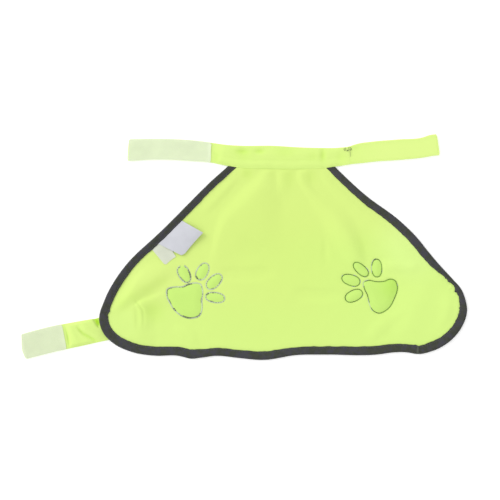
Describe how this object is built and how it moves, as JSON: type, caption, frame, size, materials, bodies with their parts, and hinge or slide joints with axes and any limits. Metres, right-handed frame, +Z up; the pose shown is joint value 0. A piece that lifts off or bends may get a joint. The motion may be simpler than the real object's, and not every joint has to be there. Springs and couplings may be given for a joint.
{
  "type": "dog safety vest",
  "caption": "High-visibility vest for a small dog, laid flat: cloth gathered into a neck strap, bound edges, a belly strap and hook-and-loop closures.",
  "frame": {"origin": "middle of the vest's outline, on the surface it lies on", "axes": "+X along the neck strap to its right end, +Y from the hem to the neck, +Z up out of the face that lies against the dog"},
  "size_m": [0.5433, 0.2745, 0.008],
  "materials": {
    "fluorescent_cloth": "matt fluorescent yellow-green polyester",
    "binding_tape": "matt dark grey woven tape",
    "hook_tape": "pale green hook tape, slightly glossy hooks",
    "loop_tape": "soft brushed loop tape",
    "label_satin": "pale grey woven satin",
    "label_nylon": "thin cream nylon"
  },
  "bodies": {
    "root": {"back_panel": "fluorescent_cloth", "edge_binding": "binding_tape", "neck_strap": "fluorescent_cloth", "belly_strap": "fluorescent_cloth", "neck_hook_tape": "hook_tape", "belly_hook_tape": "hook_tape", "neck_loop_tape": "loop_tape", "belly_loop_tape": "loop_tape", "woven_label": "label_satin", "care_label": "label_nylon"}
  },
  "joints": []
}
